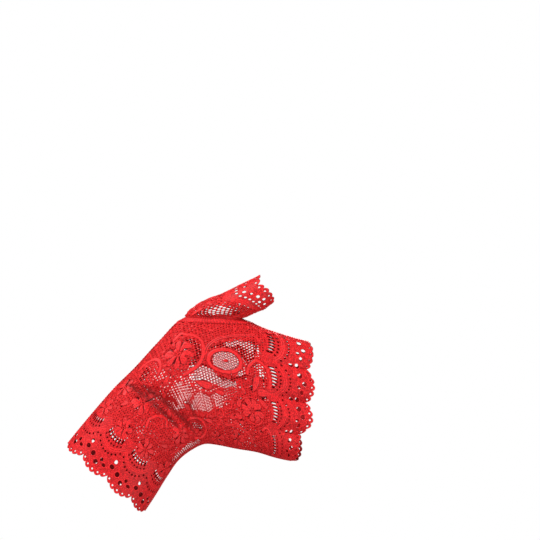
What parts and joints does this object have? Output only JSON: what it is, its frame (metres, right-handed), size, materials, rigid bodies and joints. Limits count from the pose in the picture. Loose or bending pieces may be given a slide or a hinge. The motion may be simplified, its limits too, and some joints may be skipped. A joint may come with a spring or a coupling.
{
  "type": "fingerless lace evening mitten",
  "caption": "Fingerless stretch lace evening mitten for a right hand, in its worn form: scalloped hem and finger edge, net and flower lace, short thumb tube.",
  "frame": {"origin": "middle of the wrist opening, between the hem's two side corners", "axes": "+X to the fingers, +Z to the thumb, -Y out of the back of the hand; the cuff turns down at the wrist's bend"},
  "size_m": [0.1603, 0.0451, 0.1536],
  "materials": {
    "lace": "matte stretch lace with a soft sheen",
    "seam_thread": "matte overlock thread"
  },
  "bodies": {
    "root": {"back_panel": "lace", "palm_panel": "lace", "thumb_tube": "lace", "thumb_seam": "seam_thread", "cuff_side_seam": "seam_thread", "index_side_seam": "seam_thread", "little_side_seam": "seam_thread"}
  },
  "joints": []
}
